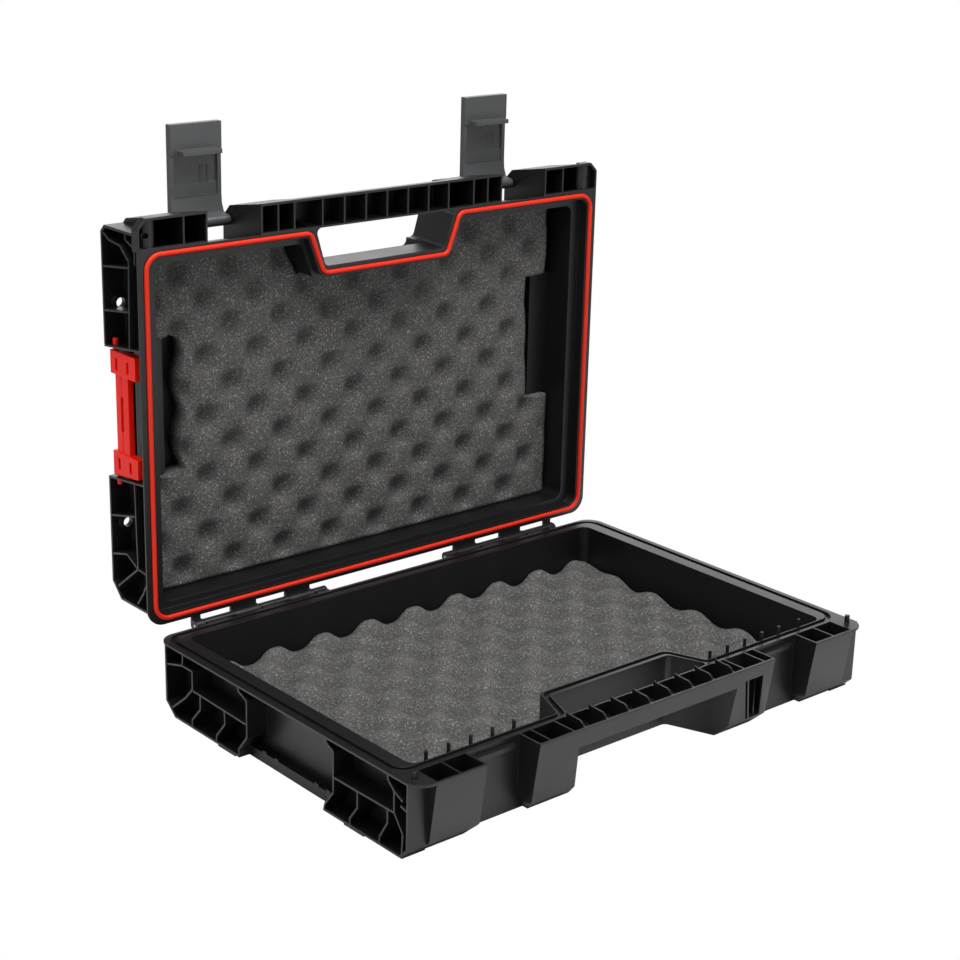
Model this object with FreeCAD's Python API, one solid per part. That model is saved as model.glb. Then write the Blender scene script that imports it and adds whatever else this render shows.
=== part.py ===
import FreeCAD, Part
import math
import os

# Hard tool case, open at a right angle, in millimetres.
# Frame: +X to the right seen from the front, +Y to the back, +Z up.
# The origin lies on the floor under the middle of the open case.
# Each shell is drawn in rim coordinates: x from the middle, y from the front
# rim edge, and depth, which is 0 at the rim and grows towards the outer panel.

V = FreeCAD.Vector
across = V(1, 0, 0)
inward = V(0, 1, 0)
up = V(0, 0, 1)
centre = V(0, 0, 0)
right_angle = 90

# Overall sizes
case_width = 450.0
case_depth = 311.4
base_height = 56.7
lid_height = 50.5
foot_height = 1.6
rim_gap = 0.4
overrun = 1.0

# Skins and ribs
skin = 2.0
panel = 2.4
flange = 1.8
rib = 1.6

# Plan of both shells
side_band = 17.5
back_band = 11.5
block_end_inset = 16.0
rim_corner = 14.0
pan_corner = 7.0
block_end_share = 0.3243
back_block_share = 0.6519
field_depth = 0.8
field_margin = 46.0
field_corner = 12.0

# Latch recesses and the cored front blocks beside them
latch_line_share = 0.6316
recess_width = 46.8
cell_to_seal = 4.9

# Base shell
base_lean = 6.9
base_edge = 10.0
base_corner_front = 9.5
base_cell_floor = 10.6
base_heel_rise = 10.0
base_heel_run = 12.0
base_rib_shares = (0.504, 0.7, 0.082)
recess_cut_width = 5.5
recess_cut_rise = 8.0
ledge_width = 8.5
ledge_height = 8.0
ledge_lug_width = 3.0
ledge_lug_length = 5.0
ledge_lug_rise = 1.5
ledge_lug_shares = (0.07, 0.203, 0.671, 0.815)
catch_reach = 4.2
catch_drop = 4.6
catch_height = 3.4
catch_width = 36.0
grille_shares = (0.2, 0.425, 0.715, 0.825)
grille_top = 11.2
grille_foot = 46.0
grille_rib = 1.8
grille_slit = 2.0

# Lid shell
lid_lean = 7.3
lid_edge = 9.0
lid_corner_front = 11.0
lid_corner_cut = 7.0
lid_corner_round = 2.0
lid_cell_floor = 8.0
lid_heel_rise = 12.0
lid_heel_run = 12.0
lid_rib_shares = (0.471, 0.62, 0.26)
lid_wall_to_seal = 7.6
lid_step_depth = 9.0
recess_rim_gap = 0.3
arch_radius = 6.1
arch_drop = 1.3

# Hand window and handle bars
window_back = 53.9
window_half_width = 59.5
base_window_flare = 0.40
lid_window_flare = 0.30
window_corner = 5.0
window_edge = 4.0
lid_window_draft = 7.0
lid_shelf_depth = 26.0
bar_back = 23.9
bar_wall = 1.5
bar_round = 6.0
base_bar_depth = 14.7
lid_bar_depth = 21.0
tooth_pitch = 21.5
teeth_per_side = 4
tooth_rise = 4.4
tooth_shoulder = 3.0
tooth_front = 3.6
tooth_back = 21.0
tooth_relief = 0.5
bar_rib_pitch = 20.7
bar_ribs_per_side = 3

# Seal bead and its grooves
seal_side_inset = 6.6
seal_front = 26.8
seal_back_inset = 5.0
seal_to_window = 5.1
seal_notch_side = 1.9
seal_notch_spread = 12.2
seal_radius = 1.8
seal_proud = 2.2
seal_clearance = 0.3
groove_wall = 1.2
seal_corner = 12.0
seal_bend = 7.0

# Pegs on the base rim
peg_radius = 1.3
peg_height = 6.0
peg_past_tray = 0.9
peg_root = 3.0
peg_clearance = 0.25
left_peg_shares = (0.2994, 0.45021, 0.60103, 0.75202, 0.90284)
right_peg_shares = (0.02418, 0.17343, 0.32267, 0.47208, 0.62133, 0.80171)
corner_peg_inset = 8.2
corner_peg_line = 13.0
corner_peg_radius = 2.0

# Holes, feet and bosses
hole_radius = 3.7
hole_boss_radius = 6.0
hole_boss_height = 3.0
hole_inset = 12.5
front_hole_share = 0.2258
back_hole_share = 0.7759
foot_inset = 0.5
foot_width = 28.0
foot_length = 22.0
front_foot_share = 0.183
back_foot_share = 0.6712
rear_pad_inner = 60.0
rear_pad_width = 40.0
rear_pad_length = 16.0
rear_pad_inset = 4.0
boss_reach = 20.5
boss_height = 12.5
boss_inset = 2.5

# Hinges
hinge_back = 7.05
hinge_drop = 3.05
knuckle_radius = 4.4
pin_radius = 1.5
pin_fit = 0.05
hinge_start_share = 0.2778
hinge_inner_width = 12.7
lid_knuckle_width = 24.0
base_knuckle_width = 27.6
hinge_outer_width = 8.0
knuckle_gap = 0.3
arm_thickness = 2.4
arm_root = 3.0
gusset_drop = 18.0
gusset_thickness = 2.0

# Latches: reach along the plate from the pivot, stand away from the pivot
latch_side_gap = 0.8
latch_pivot_line = 18.1
latch_pivot_inset = 8.5
latch_grip = 19.2
latch_stand = 7.3
latch_thickness = 6.0
latch_skin = 2.2
latch_rim = 3.4
latch_barrel = 4.2
latch_pin_radius = 1.75
latch_pin_reach = 3.4
latch_foot_reach = 18.5
latch_step_reach = 28.0
latch_step_drop = 1.4
latch_ridge = 1.0
latch_ridge_shares = (0.61, 0.75)
latch_ridge_end_share = 0.57
hook_thickness = 3.4
hook_overlap = 2.4
hook_clearance = 0.3
hook_side_gap = 5.5

# Side clips
clip_thickness = 6.7
clip_face_inset = 2.0
clip_pivot_inset = 7.5
clip_near = 11.5
clip_far_inset = 4.5
clip_front_gap = 2.2
clip_back_gap = 1.2
clip_head_length = 21.0
clip_neck_near_share = 0.36
clip_neck_far_share = 0.86
clip_neck_inset = 1.0
clip_slot_length = 9.0
clip_slot_width = 3.2
clip_slot_depth = 3.0
clip_slot_shares = (0.31, 0.76)
clip_slot_inset = 10.0
clip_slit_length = 27.0
clip_slit_width = 3.4
clip_slit_share = 0.62
clip_groove_depth = 0.8
clip_groove_width = 1.4
stub_radius = 2.1
stub_reach = 6.5
wall_slant = 5.3

# Foam pads
foam_gap = 0.4
lid_foam_gap = 2.0
boss_foam_gap = 6.5
foam_pitch = 22.5
base_foam_height = 21.0
base_foam_wave = 11.0
lid_foam_height = 14.0
lid_foam_wave = 9.0

# Shares of a front tooth, a latch foot and the foam's wave
tooth_shoulder_share = 0.32
tooth_mid_share = 0.09
latch_foot_shares = ((1, 1), (0.3, 1), (-0.1, 0.62), (-0.21, 0), (0.21, 0), (0.3, 0.42), (0.62, 0.6), (1, 0.64))

# Rib lines of the side blocks. The first share runs from the middle recess to
# the shell's end, the second from the rim to the outer panel.
base_back_shares = (
    ((0.01, 0.01), (0.0, 0.08), (-0.105, 0.15), (-0.105, 0.66), (0.005, 0.88), (0.005, 0.985)),
    ((-0.105, 0.48), (0.62, 0.455)),
    ((0.99, 0.28), (0.775, 0.185), (0.635, 0.185), (0.635, 0.44), (0.73, 0.61), (0.92, 0.865)),
    ((0.765, 0.01), (0.775, 0.18)),
    ((0.525, 0.46), (0.53, 0.665), (0.645, 0.875), (0.645, 0.985)),
    ((0.194, 0.47), (0.19, 0.66), (0.307, 0.89), (0.307, 0.985)),
)
base_front_shares = (
    ((0.028, 0.01), (0.028, 0.08), (0.116, 0.145), (0.116, 0.685), (0.014, 0.9), (0.0, 0.985)),
    ((0.116, 0.48), (0.837, 0.465)),
    ((0.409, 0.48), (0.41, 0.69), (0.32, 0.89), (0.32, 0.985)),
    ((0.764, 0.47), (0.765, 0.645), (0.677, 0.88), (0.667, 0.985)),
    ((0.76, 0.01), (0.765, 0.09), (0.836, 0.19), (0.839, 0.46), (0.94, 0.68), (0.93, 0.985)),
    ((0.836, 0.19), (0.93, 0.26)),
    ((0.91, 0.33), (0.985, 0.36)),
)
lid_back_shares = (
    ((-0.035, 0.28), (0.68, 0.25)),
    ((0.33, 0.97), (0.245, 0.3)),
    ((0.655, 0.95), (0.6, 0.56), (0.68, 0.25)),
    ((0.68, 0.25), (0.91, 0.82)),
    ((0.68, 0.25), (0.69, 0.02)),
    ((0.765, 0.01), (0.865, 0.12), (0.975, 0.28)),
)
lid_front_shares = (
    ((0.02, 0.3), (0.76, 0.25)),
    ((0.29, 0.97), (0.345, 0.3)),
    ((0.655, 0.97), (0.71, 0.27)),
    ((0.935, 0.93), (0.89, 0.78), (0.87, 0.48), (0.76, 0.25)),
    ((0.975, 0.33), (0.93, 0.32), (0.88, 0.09), (0.75, 0.09)),
)

# Values worked out from the sizes above
half_width = case_width / 2
pan_outer = half_width - side_band
pan_side = pan_outer - skin
block_outer = half_width - block_end_inset
latch_line = latch_line_share * half_width
recess_inner = latch_line - recess_width / 2
recess_outer = latch_line + recess_width / 2
back_face = case_depth - back_band
block_end_line = block_end_share * case_depth
back_block_line = back_block_share * case_depth
front_hole_line = front_hole_share * case_depth
back_hole_line = back_hole_share * case_depth
front_foot_line = front_foot_share * case_depth
back_foot_line = back_foot_share * case_depth
hole_side = half_width - hole_inset
foot_outer = half_width - foot_inset
foot_inner = foot_outer - foot_width
rear_pad_line = back_face - base_heel_run - rear_pad_inset - rear_pad_length
hinge_start = hinge_start_share * half_width
cell_back = seal_front - cell_to_seal
lid_front_wall = seal_front + lid_wall_to_seal
seal_side = half_width - seal_side_inset
seal_back = case_depth - seal_back_inset
seal_notch_back = window_back + seal_to_window
seal_notch_back_half = window_half_width + seal_notch_side
seal_notch_front_half = seal_notch_back_half + seal_notch_spread
groove_half = seal_radius + seal_clearance
lip_half = groove_half + groove_wall
lid_recess_rim = seal_front - lip_half - recess_rim_gap
boss_depth = lid_height - panel - boss_height
arch_side = block_outer - rib + arch_radius
arch_depth = arch_drop + arch_radius
lid_groove = seal_radius + seal_radius - seal_proud + seal_clearance
base_groove = seal_proud - rim_gap + seal_clearance
tray_front = seal_front + lip_half
peg_line = tray_front + peg_past_tray
peg_start = seal_notch_front_half + lip_half
peg_span = pan_side - peg_start
base_slope = base_lean / (base_height - base_edge)
lid_slope = lid_lean / (lid_height - lid_edge)
hinge_line = case_depth + hinge_back
base_rim_z = foot_height + base_height
lid_rim_z = base_rim_z + rim_gap
hinge_z = base_rim_z - hinge_drop
lid_hinge_depth = hinge_z - lid_rim_z
latch_pivot_depth = lid_height - latch_pivot_inset
latch_outer_stand = latch_stand + latch_thickness
hook_reach = latch_pivot_depth + rim_gap + catch_drop + catch_height + hook_clearance
latch_reach = hook_reach + hook_thickness + latch_grip
latch_ridge_end = latch_step_reach + latch_ridge_end_share * (hook_reach - latch_step_reach)
hook_stand = cell_back - catch_reach + hook_overlap - latch_pivot_line
clip_pivot_depth = lid_height - clip_pivot_inset
clip_far = lid_height - clip_far_inset
clip_side = half_width - clip_face_inset - clip_thickness / 2
open_back = hinge_line + latch_pivot_depth + latch_outer_stand - lid_hinge_depth
middle_y = open_back / 2


# Solids in rim coordinates

def box(x0, x1, y0, y1, d0, d1):
    return Part.makeBox(x1 - x0, y1 - y0, d1 - d0, V(x0, y0, d0))


def both_sides(solids):
    return list(solids) + [solid.mirror(centre, across) for solid in solids]


def fuse(solids):
    return solids[0].multiFuse(list(solids[1:]))


def polygon(corners, sweep):
    return Part.Face(Part.makePolygon(corners + corners[:1])).extrude(sweep)


def side_plate(points, x0, x1):
    # A polygon of (y, depth) points carried along x.
    return polygon([V(x0, y, d) for y, d in points], V(x1 - x0, 0, 0))


def front_plate(points, y0, y1):
    # A polygon of (x, depth) points carried along y.
    return polygon([V(x, y0, d) for x, d in points], V(0, y1 - y0, 0))


def plan_plate(points, d0, d1):
    # A polygon of (x, y) points carried along depth.
    return polygon([V(x, y, d0) for x, y in points], V(0, 0, d1 - d0))


def rounded_wire(corners, depth):
    # Straight runs joined by tangent arcs; each corner is (x, y, radius).
    edges = []
    ends = []
    starts = []
    count = len(corners)
    for i in range(count):
        here = V(corners[i][0], corners[i][1], depth)
        before = V(corners[i - 1][0], corners[i - 1][1], depth)
        after = V(corners[(i + 1) % count][0], corners[(i + 1) % count][1], depth)
        radius = corners[i][2]
        arm_a = (before - here).normalize()
        arm_b = (after - here).normalize()
        half_angle = arm_a.getAngle(arm_b) / 2
        bisector = (arm_a + arm_b).normalize()
        trim = radius / math.tan(half_angle)
        start = here + arm_a * trim
        end = here + arm_b * trim
        middle = here + bisector * (radius / math.sin(half_angle) - radius)
        edges.append(Part.Arc(start, middle, end).toShape())
        starts.append(start)
        ends.append(end)
    for i in range(count):
        edges.append(Part.makeLine(ends[i], starts[(i + 1) % count]))
    return Part.Wire(Part.__sortEdges__(edges))


def rounded_plate(corners, d0, d1):
    return Part.Face(rounded_wire(corners, d0)).extrude(V(0, 0, d1 - d0))


def offset_plate(corners, offset, d0, d1):
    path = rounded_wire(corners, d0).makeOffset2D(offset)
    return Part.Face(path).extrude(V(0, 0, d1 - d0))


def band_plate(corners, inside, outside, d0, d1):
    # The band along a rounded path between two offsets of it.
    return offset_plate(corners, outside, d0, d1).cut(offset_plate(corners, inside, d0, d1))


def rib_run(points, x0, x1):
    # A thin wall that follows a line of (y, depth) points, carried along x.
    pieces = []
    for (ya, da), (yb, db) in zip(points[:-1], points[1:]):
        length = math.hypot(yb - ya, db - da)
        ny = (da - db) / length * rib / 2
        nd = (yb - ya) / length * rib / 2
        corners = [(ya + ny, da + nd), (yb + ny, db + nd), (yb - ny, db - nd), (ya - ny, da - nd)]
        pieces.append(side_plate(corners, x0, x1))
        pieces.append(Part.makeCylinder(rib / 2, x1 - x0, V(x0, yb, db), across))
    return pieces


# Plans that both shells share

def rim_corners():
    return [
        (-half_width, 0, rim_corner),
        (half_width, 0, rim_corner),
        (half_width, case_depth, rim_corner),
        (-half_width, case_depth, rim_corner),
    ]


def lid_rim_corners():
    # The lid's rim has cut corners at the front.
    side = half_width - lid_corner_cut
    return [
        (-half_width, lid_corner_cut, lid_corner_round),
        (-side, 0, lid_corner_round),
        (side, 0, lid_corner_round),
        (half_width, lid_corner_cut, lid_corner_round),
        (half_width, case_depth, rim_corner),
        (-half_width, case_depth, rim_corner),
    ]


def seal_corners():
    return [
        (-seal_side, seal_front, seal_corner),
        (-seal_notch_front_half, seal_front, seal_bend),
        (-seal_notch_back_half, seal_notch_back, seal_bend),
        (seal_notch_back_half, seal_notch_back, seal_bend),
        (seal_notch_front_half, seal_front, seal_bend),
        (seal_side, seal_front, seal_corner),
        (seal_side, seal_back, seal_corner),
        (-seal_side, seal_back, seal_corner),
    ]


def notch_half(y, offset):
    # Half width of the notch round the window, at a distance from the seal line.
    slope = (seal_notch_front_half - seal_notch_back_half) / (seal_notch_back - seal_front)
    stretch = 1 / math.cos(math.atan(slope))
    return seal_notch_front_half - slope * (y - seal_front) + offset * stretch


def pan_corners(front, back, offset):
    notch_back = seal_notch_back + offset
    front_half = notch_half(front, offset)
    back_half = notch_half(notch_back, offset)
    return [
        (-pan_side, front, pan_corner),
        (-front_half, front, window_corner),
        (-back_half, notch_back, window_corner),
        (back_half, notch_back, window_corner),
        (front_half, front, window_corner),
        (pan_side, front, pan_corner),
        (pan_side, back, pan_corner),
        (-pan_side, back, pan_corner),
    ]


def window_half(flare, y):
    return window_half_width + flare * (window_back - y)


def window_corners(flare, y_front, spread):
    half = window_half(flare, y_front) + spread
    back_half = window_half_width + spread
    return [
        (-half, y_front, window_edge),
        (half, y_front, window_edge),
        (back_half, window_back, window_corner),
        (-back_half, window_back, window_corner),
    ]


def window_plate(flare, y_front, d0, d1):
    return rounded_plate(window_corners(flare, y_front, 0), d0, d1)


def window_taper(flare, y_front, draft, height, grow):
    # The window's hollow, wider towards the outer panel by the draft.
    low = height + window_edge
    wires = []
    for depth in (0, low):
        wires.append(rounded_wire(window_corners(flare, y_front, grow + draft * depth / height), depth))
    return Part.makeLoft(wires, True, True)


def notch_core(height, d0):
    # Hollow behind the window's back wall, open at the outer panel.
    half = window_half_width - window_corner
    return box(-half, half, window_back + skin, seal_notch_back + lip_half - skin, d0, height + overrun)


def lid_shelf_cut():
    # Beyond the shelf the lid's window reaches back to the far wall of the core.
    half = window_half_width
    corners = [(-half, bar_back, window_edge), (half, bar_back, window_edge),
               (half, seal_notch_back + lip_half - skin, window_corner),
               (-half, seal_notch_back + lip_half - skin, window_corner)]
    return rounded_plate(corners, lid_shelf_depth, lid_height + overrun)


def panel_field(height):
    side = half_width - field_margin
    front = window_back + field_margin
    back = case_depth - field_margin
    corners = [(-side, front, field_corner), (side, front, field_corner),
               (side, back, field_corner), (-side, back, field_corner)]
    return rounded_plate(corners, height - field_depth, height + overrun)


# Front blocks

def block_outline(height, lean, edge, back):
    return [(0, 0), (lean, height - edge), (lean + edge, height), (back, height), (back, 0)]


def front_blocks(outline):
    return [
        side_plate(outline, -block_outer, -recess_outer),
        side_plate(outline, recess_outer, block_outer),
        side_plate(outline, -recess_inner, recess_inner),
    ]


def cell_outline(height, lean, edge, floor, back_points):
    bottom = height - floor
    face = skin + lean / (height - edge) * bottom
    return [(skin, -overrun), (skin, 0), (face, bottom)] + back_points


def cell_cuts(outline, rib_shares, flare, draft, height):
    # Cells of the outer block, then of the inner block up to the window's wall.
    cuts = []
    end_share, mid_share, inner_share = rib_shares
    wall = window_half(flare, 0) + skin
    outer_rib = recess_outer + end_share * (block_outer - recess_outer)
    mid_rib = wall + mid_share * (recess_inner - wall)
    inner_rib = wall + inner_share * (recess_inner - wall)
    tip = window_half_width + skin
    keep = window_taper(flare, -window_corner - overrun, draft, height, skin)
    keep = keep.fuse(window_plate(flare, -window_corner - overrun, -overrun - overrun, overrun))
    spans = ((recess_outer + rib, outer_rib - rib / 2), (outer_rib + rib / 2, block_outer - rib),
             (mid_rib + rib / 2, recess_inner - rib), (inner_rib + rib / 2, mid_rib - rib / 2),
             (tip, inner_rib - rib / 2))
    for x0, x1 in spans:
        cuts.append(side_plate(outline, x0, x1).cut(keep))
    return both_sides(cuts)


# Side blocks, drawn at the left and mirrored

def side_skins(height, front, edge):
    # Front and back skins of the side blocks with their strip of outer panel.
    edge_line = front + edge
    front_skin = [
        (front, 0), (front, height - edge), (edge_line, height), (block_end_line, height),
        (block_end_line, height - skin), (edge_line + skin / 2, height - skin),
        (front + skin, height - edge - skin / 2), (front + skin, 0),
    ]
    back_skin = [
        (back_face, 0), (back_face, height), (back_block_line, height),
        (back_block_line, height - skin), (back_face - skin, height - skin), (back_face - skin, 0),
    ]
    return [side_plate(front_skin, -half_width, -pan_side), side_plate(back_skin, -half_width, -pan_side)]


def side_ribs(shares, recess_line, outer_line, height):
    ribs = []
    span = outer_line - recess_line
    for line in shares:
        points = [(recess_line + y_share * span, d_share * height) for y_share, d_share in line]
        ribs += rib_run(points, -half_width, -pan_side)
    return ribs


def heel_band(height, rise, run):
    # The sloping wall of the back heel, across the whole shell.
    slope = math.hypot(rise, run)
    points = [
        (back_face, height - rise),
        (back_face - run, height),
        (back_face - run - skin * slope / rise, height),
        (back_face, height - rise - skin * slope / run),
    ]
    return side_plate(points, -half_width, half_width)


def heel_corner(height, rise, run, wall):
    # The corner that the tray and the foam leave free above the heel.
    slope = math.hypot(rise, run)
    points = [
        (back_face - run - wall * slope / rise, height),
        (back_face, height - rise - wall * slope / run),
        (back_face, height),
    ]
    return side_plate(points, -half_width, half_width)


def heel_cut(height, rise, run):
    points = [
        (back_face, height - rise),
        (back_face - run, height),
        (back_face - run, height + overrun),
        (case_depth, height + overrun),
        (case_depth, height - rise),
    ]
    return side_plate(points, -case_width, case_width)


# Hinges

def knuckle_spans(owner):
    spans = []
    x = hinge_start
    widths = (
        (hinge_inner_width, "base"), (lid_knuckle_width, "lid"), (base_knuckle_width, "base"),
        (lid_knuckle_width, "lid"), (base_knuckle_width, "base"), (hinge_outer_width, "lid"),
    )
    for width, side in widths:
        if side == owner:
            spans.append((x + knuckle_gap / 2, x + width - knuckle_gap / 2))
        x += width
    return spans, x


def arm_outline(owner):
    root = case_depth - arm_root
    if owner == "base":
        low = hinge_drop + knuckle_radius
        return [(root, 0), (hinge_line, 0), (hinge_line, low), (case_depth, low), (root, low + arm_root)]
    edge = hinge_line + knuckle_radius
    near = hinge_line - knuckle_radius
    return [(root, 0), (root, arm_thickness), (hinge_line + pin_radius, arm_thickness),
            (edge, lid_hinge_depth / 2), (edge, lid_hinge_depth), (near, lid_hinge_depth), (near, 0)]


def hinge_knuckles(owner, axis_depth):
    solids = []
    spans, end = knuckle_spans(owner)
    back = case_depth - flange
    root = back_face - skin / 2
    web = [(root, 0), (back, 0), (back, flange), (root, gusset_drop)]
    for x0, x1 in spans:
        solids.append(side_plate(arm_outline(owner), x0, x1))
        solids.append(Part.makeCylinder(knuckle_radius, x1 - x0, V(x0, hinge_line, axis_depth), across))
        for x in (x0 + gusset_thickness, x1 - gusset_thickness):
            solids.append(side_plate(web, x - gusset_thickness / 2, x + gusset_thickness / 2))
    return both_sides(solids)


def hinge_bores(axis_depth):
    spans, end = knuckle_spans("base")
    start = V(hinge_start - overrun, hinge_line, axis_depth)
    return both_sides([Part.makeCylinder(pin_radius + pin_fit, end - hinge_start + overrun + overrun, start, across)])


def hinge_pin():
    spans, end = knuckle_spans("base")
    return Part.makeCylinder(pin_radius, end - hinge_start, V(hinge_start, hinge_line, hinge_drop), across)


# Base shell

def base_shell():
    height = base_height
    block = block_outline(height, base_lean, base_edge, cell_back + skin)
    solids = [box(-pan_outer, pan_outer, cell_back, back_face, 0, height)]
    solids.append(rounded_plate(rim_corners(), 0, flange))
    solids.append(band_plate(seal_corners(), -lip_half, lip_half, 0, base_groove + groove_wall))
    solids += front_blocks(block)
    solids.append(heel_band(height, base_heel_rise, base_heel_run))
    solids += both_sides(base_side_parts(height))
    solids += hinge_knuckles("base", hinge_drop)
    shell = fuse(solids)

    cell_end = [(cell_back, height - base_cell_floor), (cell_back, -overrun)]
    cells = cell_outline(height, base_lean, base_edge, base_cell_floor, cell_end)
    tray = pan_corners(tray_front, back_face - skin, lip_half)
    heel = heel_corner(height, base_heel_rise, base_heel_run, skin)
    cuts = [rounded_plate(tray, -overrun, height - panel).cut(heel)]
    cuts.append(band_plate(seal_corners(), -groove_half, groove_half, -overrun, base_groove))
    cuts.append(window_plate(base_window_flare, bar_back, -overrun, height + overrun))
    cuts.append(window_plate(base_window_flare, -window_edge - overrun, base_bar_depth, height + overrun))
    cuts.append(notch_core(height, base_groove + groove_wall + skin))
    cuts += cell_cuts(cells, base_rib_shares, base_window_flare, 0, height)
    cuts += both_sides([box(recess_inner, recess_outer, -overrun, cell_back, -overrun, height + overrun)])
    cuts += both_sides(recess_corner_cuts(height))
    cuts.append(heel_cut(height, base_heel_rise, base_heel_run))
    cuts.append(panel_field(height))
    cuts.append(bar_trough(base_window_flare, base_rib_shares, base_bar_depth, base_slope))
    cuts += hinge_bores(hinge_drop)
    cuts += grille_cuts()
    shell = shell.cut(cuts)
    extras = both_sides([catch_lip()] + base_teeth()) + pegs(0, -peg_height, peg_root)
    return fuse([shell] + extras).removeSplitter()


def base_side_parts(height):
    parts = side_skins(height, base_corner_front, base_lean + base_edge - base_corner_front)
    parts += side_ribs(base_front_shares, block_end_line, base_corner_front, height)
    parts += side_ribs(base_back_shares, back_block_line, back_face - skin, height)
    ledge = pan_outer + ledge_width
    y0 = block_end_line - skin
    y1 = back_block_line + skin
    top = height - ledge_height
    parts.append(box(-ledge, -pan_side, y0, y1, top, top + rib))
    parts.append(box(-ledge, rib - ledge, y0, y1, top, height))
    for share in ledge_lug_shares:
        line = block_end_line + share * (back_block_line - block_end_line)
        parts.append(box(-ledge, ledge_lug_width - ledge, line - ledge_lug_length / 2,
                         line + ledge_lug_length / 2, top - ledge_lug_rise, top + rib))
    for line in (front_foot_line, back_foot_line):
        parts.append(box(-foot_outer, -foot_inner, line, line + foot_length, height - skin, height + foot_height))
    parts.append(box(-rear_pad_inner - rear_pad_width, -rear_pad_inner, rear_pad_line,
                     rear_pad_line + rear_pad_length, height - skin, height + foot_height))
    return parts


def recess_corner_cuts(height):
    # Sloping corners at the foot of the blocks, beside the latch recess.
    cuts = []
    for edge, away in ((recess_outer, recess_cut_width), (recess_inner, -recess_cut_width)):
        points = [(edge - away, height - recess_cut_rise), (edge, height - recess_cut_rise),
                  (edge + away, height), (edge + away, height + overrun), (edge - away, height + overrun)]
        cuts.append(front_plate(points, -overrun, cell_back))
    return cuts


def bar_trough(flare, rib_shares, depth, lean):
    # The handle bar's open trough, from the last rib of one block to that of the other.
    # Its front wall leans and its back foot is round.
    wall = window_half(flare, 0) + skin
    half = wall + rib_shares[-1] * (recess_inner - wall) - rib / 2
    low = depth - skin
    back = bar_back - bar_wall
    sag = bar_round * (1 - math.cos(math.pi / 4))
    top_front = V(-half, skin, 0)
    low_front = V(-half, skin + lean * low, low)
    back_low = V(-half, back - bar_round, low)
    back_high = V(-half, back, low - bar_round)
    edges = [
        Part.makeLine(V(-half, skin, -overrun), top_front),
        Part.makeLine(top_front, low_front),
        Part.makeLine(low_front, back_low),
        Part.Arc(back_low, V(-half, back - sag, low - sag), back_high).toShape(),
        Part.makeLine(back_high, V(-half, back, -overrun)),
        Part.makeLine(V(-half, back, -overrun), V(-half, skin, -overrun)),
    ]
    return Part.Face(Part.Wire(edges)).extrude(V(half + half, 0, 0))


def catch_lip():
    x0 = latch_line - catch_width / 2
    return box(x0, x0 + catch_width, cell_back - catch_reach, cell_back, catch_drop, catch_drop + catch_height)


def base_teeth():
    # Walls across the handle bar's trough, each with a hooked top above the rim.
    teeth = []
    low = base_bar_depth - skin / 2
    back = bar_back - bar_wall / 2
    front = skin / 2
    for i in range(teeth_per_side):
        x = tooth_pitch * i + tooth_pitch / 2 - rib / 2
        tip = V(x, tooth_back, -tooth_rise)
        beak = V(x, tooth_back - skin, skin / 2 - tooth_rise)
        toe = V(x, tooth_front, 0)
        reach = tooth_back - tooth_front
        shoulder = V(x, tooth_front + reach * tooth_shoulder_share, -tooth_shoulder)
        bow = V(x, tooth_front + reach * tooth_mid_share, -tooth_shoulder / 2 - tooth_relief)
        edges = [
            Part.makeLine(tip, beak),
            Part.makeLine(beak, shoulder),
            Part.Arc(shoulder, bow, toe).toShape(),
            Part.makeLine(toe, V(x, front, 0)),
            Part.makeLine(V(x, front, 0), V(x, front + base_slope * low, low)),
            Part.makeLine(V(x, front + base_slope * low, low), V(x, back, low)),
            Part.makeLine(V(x, back, low), V(x, back, 0)),
            Part.makeLine(V(x, back, 0), V(x, tooth_back, 0)),
            Part.makeLine(V(x, tooth_back, 0), tip),
        ]
        teeth.append(Part.Face(Part.Wire(edges)).extrude(V(rib, 0, 0)))
    return teeth


def grille_cuts():
    # The open window in the front face of the block right of the handle.
    start = window_half(base_window_flare, 0)
    width = recess_inner - start
    left_top, left_foot, right_top, right_foot = [start + share * width for share in grille_shares]
    slit = [(left_top, grille_top), (left_top + grille_slit, grille_top),
            (left_foot + grille_slit, grille_foot), (left_foot, grille_foot)]
    gap = grille_slit + grille_rib
    field = [(left_top + gap, grille_top), (right_top, grille_top),
             (right_foot, grille_foot), (left_foot + gap, grille_foot)]
    return [front_plate(points, -overrun, base_lean + skin) for points in (slit, field)]


def pegs(fit, low, high):
    # Round pegs along the front strip and at the corners, or the lid's holes for them.
    places = []
    for side, shares in ((-1, left_peg_shares), (1, right_peg_shares)):
        for share in shares:
            places.append((side * (peg_start + share * peg_span), peg_line, peg_radius + fit))
    corner_peg_side = half_width - corner_peg_inset
    for x in (-corner_peg_side, corner_peg_side):
        places.append((x, corner_peg_line, corner_peg_radius + fit))
    return [Part.makeCylinder(r, high - low, V(x, y, low)) for x, y, r in places]


# Lid shell

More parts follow.
